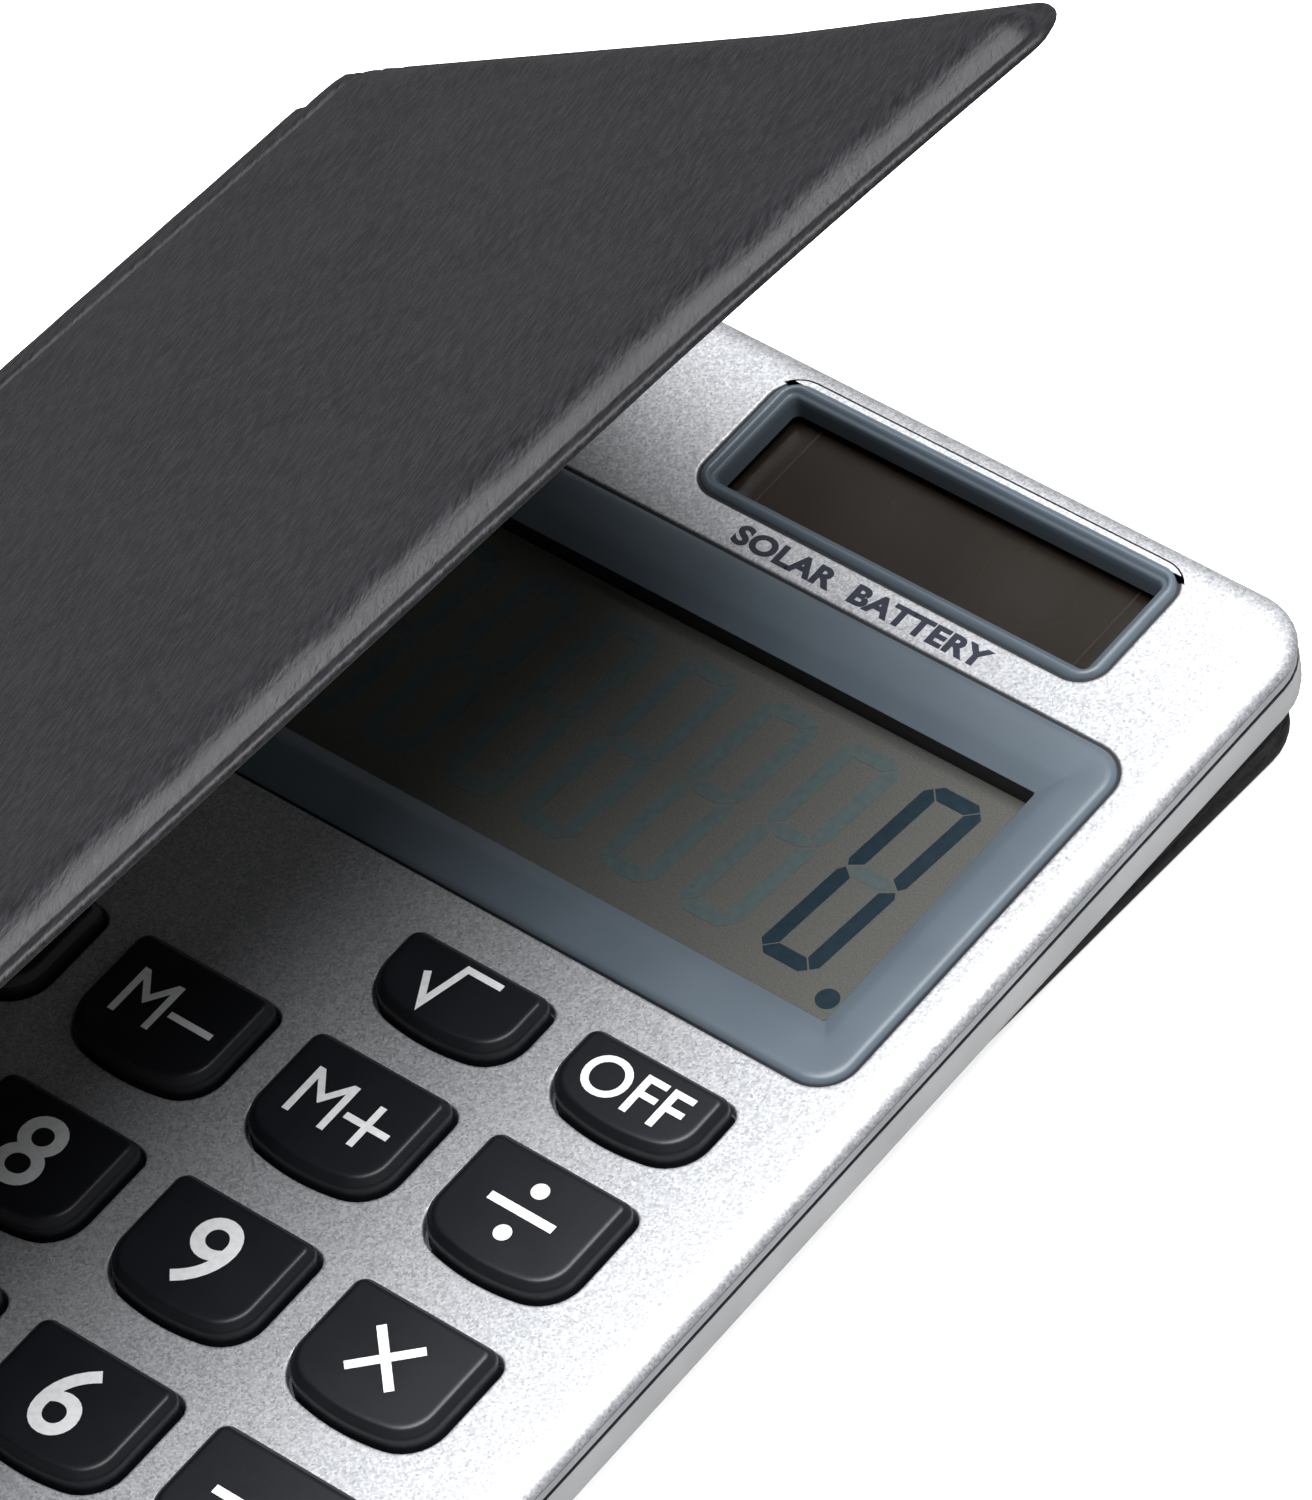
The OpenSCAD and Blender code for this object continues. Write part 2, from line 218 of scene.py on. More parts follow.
def leatherette(name="leatherette", dark=(0.006, 0.006, 0.007), light=(0.018, 0.018, 0.0215)):
    """Embossed vinyl: short fine creases that run a little off the fold, over a fine pore."""
    shader = Shader(name, Specular_IOR_Level=0.24)
    along = shader.place((1, 0.13, 0.6), (0, math.degrees(FLAP_ANGLE), -20))
    creases = shader.noise(0.17, along, detail=2, rough=0.55, twist=0.25)
    patches = shader.noise(9, detail=2)
    pores = shader.noise(0.1, detail=2)
    depth = shader.math("MULTIPLY", creases, shader.fit(patches, 0.35, 1.0))
    tone = shader.mix(shader.fit(creases, 0, 1, (0.38, 0.67)), dark, light)
    shader.color(shader.mix(shader.fit(patches, 0, 0.3), tone, light))
    shader.roughness(shader.fit(creases, 0.36, 0.5))
    under = shader.bump(pores, 0.008, 0.3)
    shader.bump(depth, 0.066, 0.85, under)
    return shader.material


def lining_cloth():
    """Smooth black lining film with a fine linen emboss."""
    shader = Shader("lining", Specular_IOR_Level=0.35)
    warp = shader.noise(0.18, shader.place((1, 0.2, 1)), detail=1)
    weft = shader.noise(0.18, shader.place((0.2, 1, 1)), detail=1)
    weave = shader.math("MULTIPLY", warp, weft)
    tone = shader.fit(weave, 0, 1, (0.1, 0.4))
    shader.color(shader.mix(tone, (0.012, 0.0115, 0.011), (0.03, 0.028, 0.027)))
    shader.roughness(shader.fit(weave, 0.4, 0.55, (0.1, 0.4)))
    shader.bump(weave, 0.03, 0.5)
    return shader.material


def key_plastic():
    shader = Shader("key_black", Specular_IOR_Level=0.42)
    grain = shader.noise(0.07, detail=2)
    drift = shader.noise(4, detail=2)
    shader.color(shader.mix(shader.fit(drift, 0, 1), (0.004, 0.0047, 0.0072), (0.0072, 0.008, 0.0115)))
    shader.roughness(shader.fit(grain, 0.36, 0.44))
    shader.bump(grain, 0.0015, 0.4)
    return shader.material


def thin_film(name, thin, full, size_mm, gloss, rough):
    """A printed or etched layer, a little uneven in its cover."""
    shader = Shader(name, Specular_IOR_Level=gloss)
    cover = shader.noise(size_mm, detail=3)
    shader.color(shader.mix(shader.fit(cover, 0, 1), thin, full))
    shader.roughness(shader.fit(cover, rough, rough + 0.1))
    return shader.material


def display_film():
    """Grey-olive polarizer film with the fine speckle of its anti-glare surface."""
    shader = Shader("polarizer", Specular_IOR_Level=0.25)
    speckle = shader.noise(0.11, detail=2)
    cloud = shader.noise(7, detail=2)
    tone = shader.mix(shader.fit(speckle, 0, 1), (0.088, 0.086, 0.083), (0.138, 0.134, 0.13))
    shader.color(shader.mix(shader.fit(cloud, 0, 0.25), tone, (0.102, 0.099, 0.095)))
    shader.roughness(shader.fit(speckle, 0.42, 0.55))
    shader.bump(speckle, 0.004, 0.4)
    return shader.material


def solar_film():
    """Amorphous cell: brown-black, with faint streaks along the deposited film."""
    shader = Shader("solar_dark", Specular_IOR_Level=0.4)
    streak = shader.noise(0.6, shader.place((1, 0.05, 1)), detail=2)
    cloud = shader.noise(12, detail=1)
    tone = shader.mix(shader.fit(streak, 0, 1), (0.014, 0.0085, 0.006), (0.018, 0.011, 0.008))
    shader.color(shader.mix(shader.fit(cloud, 0, 0.3), tone, (0.0125, 0.008, 0.006)))
    shader.roughness(shader.fit(cloud, 0.22, 0.3))
    return shader.material


def clear_window(name, tint):
    """A clear pane: it passes light straight through and mirrors a little, more at a glancing angle."""
    shader = Shader(name, Roughness=0.06)
    shader.bsdf.inputs["Base Color"].default_value = (0.01, 0.01, 0.01, 1)
    haze = shader.noise(14, detail=3)
    shader.roughness(shader.fit(haze, 0.055, 0.07))
    facing = shader.node("ShaderNodeLayerWeight")
    facing.inputs["Blend"].default_value = 0.5
    edge = shader.math("POWER", facing.outputs["Facing"], 5)
    share = shader.math("MULTIPLY_ADD", edge, 0.55)
    share.node.inputs[2].default_value = 0.01
    clear = shader.node("ShaderNodeBsdfTransparent")
    clear.inputs["Color"].default_value = (*tint, 1)
    blend = shader.node("ShaderNodeMixShader")
    shader.link(share, blend.inputs["Fac"])
    shader.link(clear.outputs["BSDF"], blend.inputs[1])
    shader.link(shader.bsdf.outputs["BSDF"], blend.inputs[2])
    shader.link(blend.outputs["Shader"], shader.output.inputs["Surface"])
    return shader.material


def brushed_metal(name, dark, light, rough):
    shader = Shader(name, Metallic=1.0)
    lines = shader.noise(0.1, shader.place((1, 0.08, 1)), detail=3)
    shader.color(shader.mix(shader.fit(lines, 0, 1), dark, light))
    shader.roughness(shader.fit(lines, rough - 0.06, rough + 0.08))
    shader.bump(lines, 0.003, 0.4)
    return shader.material


def card_board():
    shader = Shader("board", Specular_IOR_Level=0.2)
    fibre = shader.noise(0.4, shader.place((1, 0.3, 1)), detail=4)
    shader.color(shader.mix(shader.fit(fibre, 0, 1), (0.16, 0.14, 0.12), (0.24, 0.21, 0.18)))
    shader.roughness(shader.fit(fibre, 0.8, 0.92))
    shader.bump(fibre, 0.03, 0.5)
    return shader.material


# Dark tone, light tone and roughness, then where they differ the grain, its depth and the gloss
PLASTICS = {
    "grey_plastic": ((0.17, 0.18, 0.2), (0.24, 0.25, 0.27), 0.42),
    "light_grey_plastic": ((0.22, 0.225, 0.23), (0.27, 0.275, 0.28), 0.4),
    "blue_grey_plastic": ((0.08, 0.103, 0.127), (0.098, 0.124, 0.15), 0.36, 0.09, 0.0025, 0.45),
    "lcd_glass": ((0.2, 0.22, 0.21), (0.26, 0.28, 0.27), 0.1, 2, 0.001),
    "connector_rubber": ((0.42, 0.12, 0.2), (0.5, 0.17, 0.26), 0.6),
    "board_green": ((0.02, 0.12, 0.05), (0.04, 0.17, 0.08), 0.45),
    "epoxy_black": ((0.01, 0.01, 0.011), (0.02, 0.02, 0.021), 0.3),
    "component_ceramic": ((0.4, 0.27, 0.14), (0.5, 0.36, 0.2), 0.5),
    "mat_rubber": ((0.025, 0.026, 0.03), (0.045, 0.046, 0.05), 0.65),
    "adhesive": ((0.55, 0.52, 0.42), (0.66, 0.63, 0.52), 0.7, 0.5, 0.01),
}
METALS = {
    "reflector": ((0.4, 0.42, 0.4), (0.5, 0.52, 0.5), 0.4),
    "contact_brass": ((0.6, 0.42, 0.18), (0.75, 0.56, 0.27), 0.3),
    "cell_steel": ((0.5, 0.51, 0.52), (0.66, 0.67, 0.68), 0.28),
    "screw_steel": ((0.42, 0.43, 0.45), (0.58, 0.59, 0.61), 0.32),
}
MATERIALS = {
    "silver_paint": silver_paint(),
    "clear_plastic": clear_window("clear_plastic", (0.93, 0.94, 0.93)),
    "polarizer": display_film(),
    "solar_dark": solar_film(),
    "key_black": key_plastic(),
    "leatherette": leatherette(),
    "board": card_board(),
    "lining": lining_cloth(),
}
MATERIALS |= {name: moulded_plastic(name, *look) for name, look in PLASTICS.items()}
MATERIALS |= {name: brushed_metal(name, *look) for name, look in METALS.items()}
LEGEND_INK = thin_film("legend_ink", (0.78, 0.8, 0.82), (0.9, 0.91, 0.92), 0.35, 0.4, 0.42)
PANEL_INK = thin_film("panel_ink", (0.011, 0.014, 0.03), (0.02, 0.024, 0.045), 0.35, 0.4, 0.42)
SEGMENT_ON = thin_film("segment_on", (0.009, 0.022, 0.036), (0.014, 0.03, 0.046), 0.5, 0.2, 0.45)
SEGMENT_OFF = thin_film("segment_off", (0.078, 0.102, 0.112), (0.098, 0.122, 0.132), 0.5, 0.2, 0.45)
SOLAR_LINE = thin_film("solar_line", (0.028, 0.018, 0.013), (0.038, 0.025, 0.018), 0.5, 0.2, 0.45)

# ---------------------------------------------------------------- mesh helpers


class Build:
    """A mesh made of rings of points, in a local frame's millimetres."""

    def __init__(self, matrix=BODY):
        self.mesh = bmesh.new()
        self.matrix = matrix

    def ring(self, points):
        return [self.mesh.verts.new(self.matrix @ Vector(point)) for point in points]

    def wall(self, first, second):
        count = len(first)
        for index in range(count):
            after = (index + 1) % count
            self.mesh.faces.new((first[index], first[after], second[after], second[index]))

    def cap(self, ring):
        self.mesh.faces.new(ring)

    def fill(self, rings):
        """Fills the flat region between an outer ring and the holes inside it."""
        edges = []
        for ring in rings:
            for index, vertex in enumerate(ring):
                after = ring[(index + 1) % len(ring)]
                found = self.mesh.edges.get((vertex, after))
                edges.append(found or self.mesh.edges.new((vertex, after)))
        bmesh.ops.triangle_fill(self.mesh, use_beauty=True, edges=edges)

    def loft(self, rings, capped=True):
        """Joins rings in turn. A loft that isn't capped closes on itself."""
        made = [self.ring(ring) for ring in rings]
        for first, second in zip(made, made[1:]):
            self.wall(first, second)
        if capped:
            self.cap(made[0])
            self.cap(made[-1])
        else:
            self.wall(made[-1], made[0])

    def prism(self, points, low, high):
        self.loft([[(x, y, z) for x, y in points] for z in (low, high)])

    def done(self, name, slot, body, replaces=(), sharp=32, material=None):
        """Makes the object, hangs it on the body it rides on and hides the CAD nodes it replaces. A blend has
        no body.
        """
        bmesh.ops.recalc_face_normals(self.mesh, faces=self.mesh.faces)
        data = bpy.data.meshes.new(name)
        self.mesh.to_mesh(data)
        self.mesh.free()
        data.polygons.foreach_set("use_smooth", [True] * len(data.polygons))
        data.set_sharp_from_angle(angle=math.radians(sharp))
        data.materials.append(material or MATERIALS[slot])
        made = bpy.data.objects.new(name, data)
        SCENE.collection.objects.link(made)
        if body:
            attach(made, body)
        if replaces:
            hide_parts(*replaces)
        return made


def arc(x, y, radius, start, end, steps):
    """Points of an arc about (x, y), from one angle to another in degrees."""
    angles = [math.radians(start + (end - start) * step / steps) for step in range(steps + 1)]
    return [(x + radius * math.cos(angle), y + radius * math.sin(angle)) for angle in angles]


def split(points, counts):
    """Adds evenly spaced points to the sides that counts names by the index of their first point."""
    made = []
    for index, point in enumerate(points):
        after = points[(index + 1) % len(points)]
        count = counts.get(index, 1)
        for step in range(count):
            share = step / count
            made.append((point[0] + (after[0] - point[0]) * share, point[1] + (after[1] - point[1]) * share))
    return made


def rounded(width, length, radius, x=0.0, y=0.0, steps=8):
    """Outline of a rounded rectangle about (x, y)."""
    points = []
    for side_x, side_y, start in ((1, 1, 0), (-1, 1, 90), (-1, -1, 180), (1, -1, 270)):
        middle_x = x + side_x * (width / 2 - radius)
        middle_y = y + side_y * (length / 2 - radius)
        points += arc(middle_x, middle_y, radius, start, start + 90, steps)
    return points


def at_level(points, z):
    return [(x, y, z) for x, y in points]


# ---------------------------------------------------------------- keys

KEY_FLANGE = 0.5
KEY_FAR_R = 0.8
KEY_NEAR_R = 2.4
KEY_BOW = 0.5
KEY_GAP = 0.25
FLANGE_TOP = 5.4


def key_outline(node, grow=0.0, steps=7):
    """Shield outline of a key: small far corners, large near corners and a bowed near edge."""
    low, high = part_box(node)
    middle = (low + high) / 2 / MM
    half_w = (high.x - low.x) / 2 / MM - KEY_FLANGE + grow
    half_l = (high.y - low.y) / 2 / MM - KEY_FLANGE + grow
    far_r = KEY_FAR_R + grow
    near_r = KEY_NEAR_R + grow
    chord = half_w - near_r / 2
    bow_r = (chord * chord + KEY_BOW * KEY_BOW) / (2 * KEY_BOW)
    corner_x = half_w - near_r
    bow_y = bow_r - half_l
    corner_y = bow_y - math.sqrt((bow_r - near_r) ** 2 - corner_x**2)
    lean = math.degrees(math.asin(corner_x / (bow_r - near_r)))
    points = arc(half_w - far_r, half_l - far_r, far_r, 0, 90, steps)
    points += arc(far_r - half_w, half_l - far_r, far_r, 90, 180, steps)
    points += arc(-corner_x, corner_y, near_r, 180, 270 - lean, steps)
    points += arc(0, bow_y, bow_r, 270 - lean, 270 + lean, 2 * steps)[1:-1]
    points += arc(corner_x, corner_y, near_r, 270 + lean, 360, steps)
    return [(middle.x + x, middle.y + y) for x, y in points]


# Inset from the wall and drop from the top, from the shoulder of the key to its flat top
KEY_EDGE = (
    (0.0, 0.62), (0.015, 0.5), (0.06, 0.41), (0.12, 0.35), (0.3, 0.14),
    (0.36, 0.075), (0.44, 0.03), (0.53, 0.008), (0.62, 0.0), (0.72, 0.0),
)


def key_cap(node):
    low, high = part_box(node)
    bottom = low.z / MM
    top = high.z / MM
    levels = [(KEY_FLANGE, bottom), (KEY_FLANGE, FLANGE_TOP), (0.0, FLANGE_TOP)]
    levels += [(-inset, top - drop) for inset, drop in KEY_EDGE]
    build = Build()
    build.loft([at_level(key_outline(node, grow), z) for grow, z in levels])
    build.done(f"cap_{node[4:]}", "key_black", node, (node,), 48)
    return top


# ---------------------------------------------------------------- printed legends

INK = 0.012
STROKE = 0.54
THIN_STROKE = 0.42


def shift(points, x, y):
    return [(px + x, py + y) for px, py in points]


def turned(points, degrees):
    """Points turned about the origin."""
    c = math.cos(math.radians(degrees))
    s = math.sin(math.radians(degrees))
    return [(c * x - s * y, s * x + c * y) for x, y in points]


def bar(length, x=0.0, y=0.0, turn=0.0, width=STROKE):
    """Outline of a square-ended bar."""
    a = length / 2
    b = width / 2
    return shift(turned(((-a, -b), (a, -b), (a, b), (-a, b)), turn), x, y)


def cross(size, turn=0.0, width=STROKE):
    """Outline of a plus, or of a times sign when it is turned by 45 degrees."""
    a = size / 2
    b = width / 2
    points = []
    for step in range(4):
        points += turned(((a, -b), (a, b), (b, b)), 90 * step)
    return turned(points, turn)


def dot(radius, x=0.0, y=0.0):
    return arc(x, y, radius, 0, 350, 35)


def stroke(points, width=STROKE):
    """Outline of an open line with mitred bends and square ends."""
    line = [Vector(point) for point in points]
    sides = []
    for index, point in enumerate(line):
        before = (point - line[index - 1]).normalized() if index else None
        after = (line[index + 1] - point).normalized() if index + 1 < len(line) else None
        before = before or after
        after = after or before
        bisector = (before + after).normalized()
        normal = Vector((-bisector.y, bisector.x))
        reach = width / 2 / max(0.3, normal.dot(Vector((-before.y, before.x))))
        sides.append((point + normal * reach, point - normal * reach))
    outline = [left for left, right in sides] + [right for left, right in reversed(sides)]
    return [(point.x, point.y) for point in outline]


def letters(text, height, x, y, z, build, stretch=1.0, bold=0.0, spacing=1.0):
    """Adds text in the plain built-in letter, centred on (x, y)."""
    curve = bpy.data.curves.new("letters", "FONT")
    curve.body = text
    curve.offset = bold
    curve.space_character = spacing
    curve.extrude = INK
    curve.resolution_u = 6
    holder = bpy.data.objects.new("letters", curve)
    SCENE.collection.objects.link(holder)
    bpy.context.view_layer.update()
    shown = holder.evaluated_get(bpy.context.evaluated_depsgraph_get())
    data = bpy.data.meshes.new_from_object(shown)
    xs = [vertex.co.x for vertex in data.vertices]
    ys = [vertex.co.y for vertex in data.vertices]
    scale = height / (max(ys) - min(ys))
    middle = Vector(((min(xs) + max(xs)) / 2, (min(ys) + max(ys)) / 2, 0))
    for vertex in data.vertices:
        local = vertex.co - middle
        place = Vector((x + local.x * scale * stretch, y + local.y * scale, z + local.z))
        vertex.co = build.matrix @ place
    build.mesh.from_mesh(data)
    bpy.data.objects.remove(holder)
    bpy.data.curves.remove(curve)
    bpy.data.meshes.remove(data)


LEGEND_RAISE = 0.15
DIGIT_H = 4.75
WORD_H = 2.7
BOLD = 0.01
SIGN = 4.25

# The memory keys: an M at the left with a plus or a minus at its right
M_HEIGHT = 3.2
M_WIDEN = 0.93
M_X = -1.4
M_MARK = 2.9
M_MARK_X = 1.8
M_MARK_Y = -0.15

SIGNS = {
    "divide": [bar(SIGN), dot(0.51, 0, 1.55), dot(0.51, 0, -1.55)],
    "multiply": [cross(SIGN, 45)],
    "minus": [bar(SIGN)],
    "plus": [cross(SIGN)],
    "equals": [bar(SIGN, 0, 0.8), bar(SIGN, 0, -0.8)],
    "point": [dot(0.6, 0, -0.9)],
    "sqrt": [stroke([(-2.05, 0.3), (-1.05, -1.55), (-0.26, 1.5), (2.05, 1.5)], THIN_STROKE)],
    "sign": [
        shift(cross(2.2), -1.45, 0.45), stroke([(-0.85, -1.5), (0.85, 1.5)], THIN_STROKE),
        bar(2.0, 1.55, -0.8),
    ],
}
WORDS = {"off": "OFF", "mc": "MC", "mr": "MR", "clear": "C", "all_clear": "AC"}


def legend(node, top):
    """Prints a key's legend on its flat top."""
    low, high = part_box(node)
    x = (low.x + high.x) / 2 / MM
    y = (low.y + high.y) / 2 / MM + LEGEND_RAISE
    name = node[4:]
    build = Build()
    if name.isdigit():
        letters(name, DIGIT_H, x, y, top, build, 1, BOLD)
    elif name in WORDS:
        letters(WORDS[name], WORD_H, x, y, top, build, 1, BOLD)
    elif name in ("m_plus", "m_minus"):
        letters("M", M_HEIGHT, x + M_X, y, top, build, M_WIDEN)
        outline = cross if name == "m_plus" else bar
        mark = outline(M_MARK, width=THIN_STROKE)
        build.prism(shift(mark, x + M_MARK_X, y + M_MARK_Y), top - INK, top + INK)
    elif name == "percent":
        letters("%", WORD_H, x, y, top, build)
    else:
        for outline in SIGNS[name]:
            build.prism(shift(outline, x, y), top - INK, top + INK)
    build.done(f"legend_{name}", "key_black", node, material=LEGEND_INK)


KEYS = [node for node in frame["nodes"] if node.startswith("key_") and node != "key_mat"]
for key in KEYS:
    legend(key, key_cap(key))

# ---------------------------------------------------------------- calculator shell

BODY_R = 4.0
FACE_ROLL = 1.7
HOLE_EDGE = 0.1
BEZEL_GAP = 0.18
SEAM_GAP = 0.1
QUARTER = [math.radians(angle) for angle in (0, 18, 36, 54, 72, 90)]


def node_outline(node, grow, radius):
    low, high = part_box(node)
    width = (high.x - low.x) / MM + 2 * grow
    length = (high.y - low.y) / MM + 2 * grow
    middle = (low + high) / 2 / MM
    return rounded(width, length, max(radius + grow, 0.05), middle.x, middle.y)


DISPLAY_R = 2.2
SOLAR_R = 1.7


def face_holes(grow):
    """Outlines of every hole in the face, opened by grow."""
    made = [key_outline(key, KEY_GAP + grow) for key in KEYS]
    made.append(node_outline("display_bezel", BEZEL_GAP + grow, DISPLAY_R))
    made.append(node_outline("solar_bezel", BEZEL_GAP + grow, SOLAR_R))
    return made


def face_plate():
    """The painted face: flat, rolled down at its outer edge, with eased edges round its holes."""
    low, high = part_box("face_plate")
    bottom = low.z / MM + SEAM_GAP
    top = high.z / MM
    roll_h = top - bottom - 0.05
    build = Build()
    outer = [build.ring(at_level(node_outline("face_plate", 0, BODY_R), bottom))]
    for angle in QUARTER:
        inset = FACE_ROLL * (1 - math.cos(angle))
        z = top - roll_h + roll_h * math.sin(angle)
        outer.append(build.ring(at_level(node_outline("face_plate", -inset, BODY_R), z)))
    outer.append(build.ring(at_level(node_outline("face_plate", -FACE_ROLL - 0.1, BODY_R), top)))
    for first, second in zip(outer, outer[1:]):
        build.wall(first, second)
    edge = [(HOLE_EDGE * 2, 0.0), (HOLE_EDGE, 0.0), (HOLE_EDGE * 0.3, HOLE_EDGE * 0.3), (0.0, HOLE_EDGE)]
    levels = edge + [(0.0, top - bottom)]
    upper = [outer[-1]]
    lower = [outer[0]]
    stacks = zip(*[face_holes(grow) for grow, drop in levels])
    for stack in stacks:
        rings = [build.ring(at_level(points, top - drop)) for points, (grow, drop) in zip(stack, levels)]
        for first, second in zip(rings, rings[1:]):
            build.wall(first, second)
        upper.append(rings[0])
        lower.append(rings[-1])
    build.fill(upper)
    build.fill(lower)
    build.done("painted_face", "silver_paint", "calculator", ("face_plate",), 50)


REAR_ROLL = 2.0
REAR_WALL = 1.2
REAR_FLOOR = 0.9
SCREW_HEAD_R = 1.45
SCREW_HOLE_R = 0.85
SCREW_RECESS = 0.5
SCREW_INSET = 1.3
SCREW_MIDDLE_Y = 12.6


def screw_places():
    low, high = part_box("casing_screws")
    xs = (low.x / MM + SCREW_INSET, high.x / MM - SCREW_INSET)
    ys = (low.y / MM + SCREW_INSET, SCREW_MIDDLE_Y, high.y / MM - SCREW_INSET)
    return [(x, y) for x in xs for y in ys]


def rear_casing():
    """The rear casing: a tray with a rolled lower edge and six countersunk screw holes."""
    low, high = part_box("rear_casing")
    bottom = low.z / MM
    top = high.z / MM - SEAM_GAP
    build = Build()
    rings = []
    for angle in QUARTER:
        inset = REAR_ROLL * (1 - math.sin(angle))
        z = bottom + REAR_ROLL * (1 - math.cos(angle))
        rings.append(build.ring(at_level(node_outline("rear_casing", -inset, BODY_R), z)))
    for inset, z in ((0.0, top - 0.12), (0.04, top - 0.03), (0.12, top), (REAR_WALL, top)):
        rings.append(build.ring(at_level(node_outline("rear_casing", -inset, BODY_R), z)))
    rings.append(build.ring(at_level(node_outline("rear_casing", -REAR_WALL, BODY_R), bottom + REAR_FLOOR)))
    for first, second in zip(rings, rings[1:]):
        build.wall(first, second)
    under = [rings[0]]
    over = [rings[-1]]
    for x, y in screw_places():
        levels = (
            (SCREW_HEAD_R, bottom), (SCREW_HEAD_R, bottom + SCREW_RECESS),
            (SCREW_HOLE_R, bottom + SCREW_RECESS), (SCREW_HOLE_R, bottom + REAR_FLOOR),
        )
        holes = [build.ring(at_level(arc(x, y, radius, 0, 345, 23), z)) for radius, z in levels]
        for first, second in zip(holes, holes[1:]):
            build.wall(first, second)
        under.append(holes[0])
        over.append(holes[-1])
    build.fill(under)
    build.fill(over)
    build.done("rear_shell", "light_grey_plastic", "calculator", ("rear_casing",), 40)


def shade_ring(build, node, outer, inner, radius, bottom, top):
    """A closed dark ring between two outlines of a node: painted shade in a gap."""
    levels = ((outer, bottom), (outer, top), (inner, top), (inner, bottom))
    build.loft([at_level(node_outline(node, grow, radius), z) for grow, z in levels], capped=False)


def painted_gap_shade():
    """Black rings in the seams of the casing and in the gaps round the two bezels: painted shade where these
    gaps hold only shadow.
    """
    build = Build()
    face_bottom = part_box("face_plate")[0].z / MM
    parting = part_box("rear_casing")[1].z / MM
    for level in (face_bottom + SEAM_GAP / 2, parting - SEAM_GAP / 2):
        shade_ring(build, "face_plate", -0.06, -0.5, BODY_R, level - 0.1, level + 0.1)
    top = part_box("face_plate")[1].z / MM - 0.09
    for node, radius in (("display_bezel", DISPLAY_R), ("solar_bezel", SOLAR_R)):
        shade_ring(build, node, BEZEL_GAP + 0.03, -0.05, radius, face_bottom + 0.05, top)
    build.done("painted_gap_shade", "key_black", "calculator")


face_plate()
rear_casing()
painted_gap_shade()

# ---------------------------------------------------------------- bezels and windows

DISPLAY_OPENING = (57.4, 18.2)
SOLAR_RIM = 1.15

# Share of the way in and drop from the top, from the outer wall to the opening
DISPLAY_PROFILE = (
    (0.0, 0.34), (0.018, 0.22), (0.045, 0.11), (0.08, 0.04), (0.12, 0.01), (0.16, 0.0),
    (0.34, 0.05), (0.54, 0.13), (0.66, 0.2), (0.73, 0.27), (0.79, 0.4), (0.85, 0.5),
    (0.93, 0.68), (1.0, 0.82),
)
SOLAR_PROFILE = (
    (0.0, 0.34), (0.06, 0.22), (0.16, 0.1), (0.27, 0.03), (0.38, 0.0), (0.48, 0.03),
    (0.58, 0.14), (0.64, 0.26), (0.7, 0.3), (0.78, 0.34), (0.84, 0.48), (0.9, 0.85), (1.0, 1.65),
)


def bezel(node, piece, opening, inner_r, outer_r, profile):
    """A moulded frame whose cross-section changes evenly from its outer wall to its opening."""
    low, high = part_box(node)
    middle = (low + high) / 2 / MM
    width = (high.x - low.x) / MM
    length = (high.y - low.y) / MM
    top = high.z / MM
    bottom = low.z / MM
    levels = [(0.0, top - bottom)] + list(profile)
    rings = []
    for share, drop in levels:
        ring_w = width + (opening[0] - width) * share
        ring_l = length + (opening[1] - length) * share
        radius = outer_r + (inner_r - outer_r) * min(1, share / 0.7)
        rings.append(at_level(rounded(ring_w, ring_l, radius, middle.x, middle.y), top - drop))
    build = Build()
    build.loft(rings, capped=False)
    build.done(piece, "blue_grey_plastic", "calculator", (node,), 40)
    return middle


def pane(node, piece, bottom):
    """A clear window with eased edges."""
    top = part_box(node)[1].z / MM
    levels = ((0.1, bottom), (0.0, bottom + 0.08), (0.0, top - 0.08), (0.1, top - 0.01), (0.25, top - 0.01))
    build = Build()
    build.loft([at_level(node_outline(node, -inset, 1.0), z) for inset, z in levels])
    build.done(piece, "clear_plastic", "calculator", (node,))


def opening_of(node, rim):
    low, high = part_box(node)
    return (high.x - low.x) / MM - 2 * rim, (high.y - low.y) / MM - 2 * rim


def painted_display_shadow():
    """The black wall between the display's bezel and its glass: painted shadow of the bezel in the display's
    recess.
    """
    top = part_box("display_bezel")[1].z / MM - DISPLAY_PROFILE[-1][1]
    levels = ((0.05, FILM_Z + 0.01), (0.05, top - 0.02), (-0.02, top - 0.02), (-0.02, FILM_Z + 0.01))
    build = Build()
    rings = []
    for grow, z in levels:
        width, length = (size + 2 * grow for size in DISPLAY_OPENING)
        rings.append(at_level(rounded(width, length, 0.2, display_middle.x, display_middle.y), z))
    build.loft(rings, capped=False)
    build.done("painted_display_shadow", "key_black", "calculator")


display_middle = bezel(
    "display_bezel", "display_surround", DISPLAY_OPENING, 0.15, DISPLAY_R, DISPLAY_PROFILE
)
solar_middle = bezel(
    "solar_bezel", "solar_surround", opening_of("solar_bezel", SOLAR_RIM), 0.45, SOLAR_R, SOLAR_PROFILE
)
FILM_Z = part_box("lcd_front_polarizer")[1].z / MM
SEGMENT_LOW = FILM_Z + 0.006
SEGMENT_HIGH = FILM_Z + 0.016
painted_display_shadow()
pane("display_window", "display_pane", FILM_Z + 0.25)
pane("solar_window", "solar_pane", FILM_Z + 0.25)

# ---------------------------------------------------------------- display segments

DIGITS = 10
DIGIT_PITCH = 5.5
DIGIT_W = 3.95
DIGIT_L = 14.15
DIGIT_STROKE = 1.06
DIGIT_CHAMFER = 0.8
SEGMENT_GAP = 0.045
POINT_R = 0.68
DIGIT_SLANT = math.tan(math.radians(5.2))
LAST_DIGIT = (21.5, -6.5)
POINT_PLACE = (27.1, -7.05)


